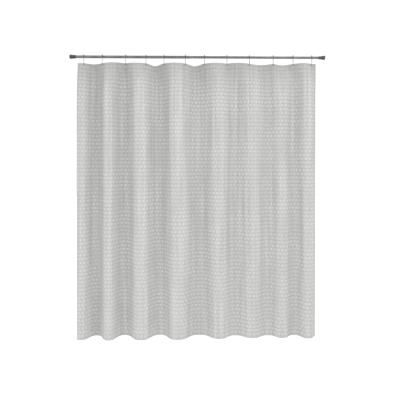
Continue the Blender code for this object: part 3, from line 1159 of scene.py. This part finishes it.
@dataclass
class Rings:
    """The roller rings: a wire hoop each, with balls that run on the rod."""

    wire_radius: float = 0.0015
    ball_radius: float = 0.003
    balls: int = 5
    ball_pitch: float = 22.0
    ball_play: float = 0.00012
    ball_points: int = 13
    ball_sides: int = 20
    wire_points: int = 120
    wire_sides: int = 12
    weld_angle: float = 112.0
    weld_swell: float = 0.16
    weld_reach: float = 0.0012

    def build(self, steel: bpy.types.Material) -> None:
        """Make every ring on its body.

        Args:
            steel: the wire's and the balls' material.
        """
        for name in ring_nodes():
            hoop = Hoop(name, self.wire_radius, self.ball_radius)
            take_place(self.wire(name.replace("ring", "ring_wire"), hoop, steel), name)
            take_place(self.rollers(name.replace("ring", "ring_rollers"), hoop, steel), name)

    def wire(self, name: str, hoop: "Hoop", material: bpy.types.Material) -> bpy.types.Object:
        """Make the wire: a circle in the hoop's plane, with the wire's thickness round it.

        Where the wire's two ends were joined, a small weld swells it by a bell curve.

        Args:
            name: the piece's name.
            hoop: the ring's place.
            material: the steel.

        Returns:
            The object.
        """
        angle = round_turn(self.wire_points)
        out = hoop.outwards(angle)
        off = (angle - math.radians(self.weld_angle)) * hoop.radius
        weld = self.weld_swell * np.exp(-((off / self.weld_reach) ** 2))
        thick = self.wire_radius * (1 + weld[:, None])
        side = np.broadcast_to(hoop.side, out.shape)
        centres = hoop.centre + hoop.radius * out
        points, faces = swept_tube(centres, side * thick, out * thick, self.wire_sides)
        return mesh_object(name, points, [faces], material)

    def rollers(self, name: str, hoop: "Hoop", material: bpy.types.Material) -> bpy.types.Object:
        """Make the balls on the wire.

        Each is a ball with a hole, turned about the wire: its outline is an arc from the wire
        at one side to the wire at the other, and back along the hole.

        Args:
            name: the piece's name.
            hoop: the ring's place.
            material: the steel.

        Returns:
            The object that holds the ring's balls.
        """
        bore = self.wire_radius + self.ball_play
        reach = math.asin(bore / self.ball_radius)
        turn = np.linspace(reach, math.pi - reach, self.ball_points)
        along = -self.ball_radius * np.cos(turn)
        away = self.ball_radius * np.sin(turn)
        outline = np.concatenate([np.stack([along, away], -1), [[0.0, bore]]])
        spin = round_turn(self.ball_sides)[:, None]
        points, faces = [], []
        each = torus_faces(len(outline), len(spin))
        for i in range(self.balls):
            lean = np.radians([(i - (self.balls - 1) / 2) * self.ball_pitch])
            out, run = hoop.outwards(lean), hoop.outwards(lean + math.pi / 2)
            away_from_wire = np.cos(spin) * hoop.side + np.sin(spin) * out
            ball = hoop.centre + out * hoop.radius + run * outline[None, :, :1]
            ball = ball + away_from_wire[:, None] * outline[None, :, 1:]
            points.append(ball.reshape(-1, 3))
            faces.append(each + i * len(outline) * len(spin))
        return mesh_object(name, np.concatenate(points), faces, material)


class Hoop:
    """Where a ring's wire runs: its centre, its radius and its plane, read from the ring's node."""

    def __init__(self, node: str, wire_radius: float, ball_radius: float) -> None:
        """Read the ring's place.

        Its plane is upright. The plane's level direction is the one in which the ring's points
        spread most, seen from above.

        Args:
            node: the ring's node.
            wire_radius: the wire's radius, by which the ring reaches below its middle line.
            ball_radius: the balls' radius, by which it reaches above.
        """
        low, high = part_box(node)
        bottom, top = low.z + wire_radius, high.z - ball_radius
        self.radius = (top - bottom) / 2
        self.centre = np.array([(low.x + high.x) / 2, 0.0, (top + bottom) / 2])
        spread = np.linalg.eigh(np.cov(node_points(node)[:, :2].T))[1][:, 1]
        spread = spread * math.copysign(1.0, spread[1])
        self.level = np.array([spread[0], spread[1], 0.0])
        self.side = np.array([spread[1], -spread[0], 0.0])

    def outwards(self, angle: Array) -> Array:
        """Return the unit directions from the centre at angles from the top, level then down."""
        up = np.array([0.0, 0.0, 1.0])
        return self.level * np.sin(angle)[:, None] + up * np.cos(angle)[:, None]


# ---------------------------------------------------------------------------------------------
# The rod
# ---------------------------------------------------------------------------------------------


@dataclass
class Rod:
    """The tension rod: two tubes and the caps on their ends."""

    sides: int = 72
    tube_wall: float = 0.0007
    chamfer: float = 0.0003
    crimp_from_end: float = 0.011
    crimp_width: float = 0.0032
    crimp_depth: float = 0.00035
    cap_play: float = 0.0003
    cap_seat: float = 0.006
    flange: float = 0.0065
    flange_round: float = 0.0012
    lip_wall: float = 0.0021
    lip_round: float = 0.001
    face_ring_pitch: float = 0.0031
    face_ring_depth: float = 0.0004
    rib_count: int = 4
    rib_depth: float = 0.0006

    def build(self, steel: bpy.types.Material, rubber: bpy.types.Material) -> None:
        """Make the tubes and the caps.

        Args:
            steel: the tubes' material.
            rubber: the caps' material.
        """
        held = {"left_end_cap": "outer_tube", "right_end_cap": "inner_tube"}
        for tube in held.values():
            take_place(self.tube(tube, steel), tube)
        for cap, tube in held.items():
            take_place(self.cap(cap, tube, rubber), cap)

    def tube(self, node: str, material: bpy.types.Material) -> bpy.types.Object:
        """Make a tube with softened ends and, on the outer one, a rolled crimp at its mouth."""
        low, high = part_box(node)
        radius = high.z
        bore = radius - self.tube_wall
        soft = self.chamfer
        ends = [[low.x, bore], [low.x, radius - soft], [low.x + soft, radius]]
        body = np.linspace(low.x + 0.01, high.x - 0.03, 40)
        parts = [np.array(ends), np.stack([body, np.full_like(body, radius)], -1)]
        if node == "outer_tube":
            parts.append(self._crimp(high.x, radius))
        parts.append(np.array([[high.x - soft, radius], [high.x, radius - soft], [high.x, bore]]))
        profile = np.concatenate(parts)
        points, faces = turned_about_rod(profile[::-1], self.sides)
        return mesh_object("rod_" + node, points, faces, material)

    def _crimp(self, end: float, radius: float) -> Array:
        """Return the crimp's outline: a dip of one cosine wave, a little way from the mouth."""
        share = np.linspace(0, 1, 13)
        x = end - self.crimp_from_end + (share - 0.5) * self.crimp_width
        dip = self.crimp_depth * (1 - raised_cosine(share))
        return np.stack([x, radius - dip], axis=-1)

    def cap(self, node: str, tube: str, material: bpy.types.Material) -> bpy.types.Object:
        """Make a moulded cap with rounded lips, ribs for grip, and rings on its wall face.

        Args:
            node: the cap's node.
            tube: the node of the tube that it holds.
            material: the rubber.

        Returns:
            The object.
        """
        low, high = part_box(node)
        wall, mouth = (low.x, high.x) if node.startswith("left") else (high.x, low.x)
        way = math.copysign(1.0, mouth - wall)
        length = abs(mouth - wall)
        wide = high.z
        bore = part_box(tube)[1].z + self.cap_play
        lip = bore + self.lip_wall
        seat = self.cap_seat
        edge, soft = self.flange_round, self.lip_round
        flare = np.linspace(self.flange, length - 0.0025, 90)
        outline = self._flare(flare, length, wide, lip)
        rings = np.linspace(0.0008, wide - 0.002, 40)
        grooves = self.face_ring_depth * (1 - raised_cosine(rings / self.face_ring_pitch))
        parts = [
            np.array([[0.0, 0.0]]),
            np.stack([grooves, rings], axis=-1),
            arc_points(edge, wide - edge, edge, 180, 90),
            np.stack([flare, outline], axis=-1),
            arc_points(length - soft, lip - soft, soft, 90, 0),
            np.array([[length, bore], [seat, bore], [seat, bore / 2], [seat, 0.0]]),
        ]
        profile = np.concatenate(parts)
        profile[:, 0] = wall + way * profile[:, 0]
        if way > 0:
            profile = profile[::-1]
        points, faces = turned_about_rod(profile, self.sides)
        name = node.replace("end_cap", "cap_moulded")
        return mesh_object(name, points, faces, material)

    def _flare(self, x: Array, length: float, wide: float, lip: float) -> Array:
        """Return the cap's outside radius, which narrows along half a cosine, with its ribs."""
        share = np.clip((x - self.flange) / (length * 0.55), 0.0, 1.0)
        radius = lip + (wide - lip) * raised_cosine(share / 2)
        start, end = length * 0.62, length - 0.004
        ribs = 1 - raised_cosine((x - start) / (end - start) * self.rib_count)
        return radius - np.where((x > start) & (x < end), self.rib_depth * ribs, 0.0)


def dress(nodes: Sequence[str], material: bpy.types.Material) -> None:
    """Give CAD nodes that keep their own shape a better material.

    Args:
        nodes: their names.
        material: what they are made of.
    """
    for name in nodes:
        frame["nodes"][name].material_slots[0].material = material
        LOG.info("%s keeps its shape, in %s", name, material.name)


# ---------------------------------------------------------------------------------------------
# The studio
# ---------------------------------------------------------------------------------------------


@dataclass
class Studio:
    """A white floor, soft lights and the camera."""

    below_hem: float = 0.14
    floor_reach: float = 9.0
    floor_count: int = 41
    white: float = 1.05
    distance: float = 2.1
    frame_width: float = 2.673
    centre_x: float = 0.863
    centre_z: float = -0.953
    camera_z: float = -0.68
    yaw: float = 0.76
    tilt: float = 0.17

    def build(self) -> None:
        """Make the floor, the lights, the surroundings and the camera."""
        self.floor()
        self.surroundings()
        self.light("key", (-0.5, -3.2, 0.5), size=1.9, power=16.0)
        self.light("fill", (3.2, -2.6, -0.4), size=1.8, power=5.0)
        self.light("rod_glint", (1.75, -1.0, 1.0), size=0.34, power=7.0)
        self.camera()

    def floor(self) -> None:
        """Make the floor: a square grid, which rises and falls by 2 mm as paper does."""
        low, _ = CAD_BOX
        count = self.floor_count
        side = np.linspace(-self.floor_reach, self.floor_reach, count)
        x, y = np.meshgrid(side + self.centre_x, side)
        z = low.z - self.below_hem + 0.002 * np.sin(x * 1.7) * np.sin(y * 1.3)
        points = np.stack([x, y, z], axis=-1).reshape(-1, 3)
        corner = np.arange(count * count).reshape(count, count)[:-1, :-1].ravel()
        faces = np.stack([corner, corner + 1, corner + count + 1, corner + count], axis=-1)
        mesh_object("studio_floor", points, [faces], PalePaper().build())

    def surroundings(self) -> None:
        """Fill the studio with an even white light."""
        world = bpy.data.worlds.new("studio")
        world.use_nodes = True
        back = world.node_tree.nodes["Background"]
        back.inputs["Color"].default_value = (1.0, 1.0, 1.0, 1.0)
        back.inputs["Strength"].default_value = self.white
        bpy.context.scene.world = world
        bpy.context.scene.view_settings.view_transform = "Standard"

    def light(self, name: str, place: tuple, size: float, power: float) -> None:
        """Add a square soft light that faces the middle of the cloth."""
        data = bpy.data.lights.new(name, "AREA")
        data.size = size
        data.energy = power
        made = bpy.data.objects.new(name, data)
        made.location = place
        aim = Vector((self.centre_x, 0.0, self.centre_z)) - Vector(place)
        made.rotation_mode = "QUATERNION"
        made.rotation_quaternion = aim.to_track_quat("-Z", "Y")
        bpy.context.scene.collection.objects.link(made)

    def camera(self) -> None:
        """Add the camera, square on to the rod but for a slight turn and tilt."""
        data = bpy.data.cameras.new("camera")
        data.sensor_width = 36.0
        data.lens = data.sensor_width * self.distance / self.frame_width
        aimed_z = self.camera_z - self.distance * math.tan(math.radians(self.tilt))
        data.shift_y = (self.centre_z - aimed_z) / self.frame_width
        made = bpy.data.objects.new("camera", data)
        x = self.centre_x - self.distance * math.tan(math.radians(self.yaw))
        made.location = (x, -self.distance, self.camera_z)
        made.rotation_euler = (math.radians(90 - self.tilt), 0.0, math.radians(-self.yaw))
        bpy.context.scene.collection.objects.link(made)
        bpy.context.scene.camera = made


def main() -> None:
    """Build the looks, sub-assembly by sub-assembly."""
    logging.basicConfig(level=logging.INFO, format="%(name)s: %(message)s")
    Studio().build()
    Cloth().build(WaffleCloth().build(), Thread().build())
    Rings().build(PolishedSteel().build())
    Rod().build(DrawnSteel().build(), CapRubber().build())
    dress(["lock_plug", "spring_stop"], Nylon().build())
    dress(["tension_spring"], SpringSteel().build())


if __name__ == "__main__":
    main()
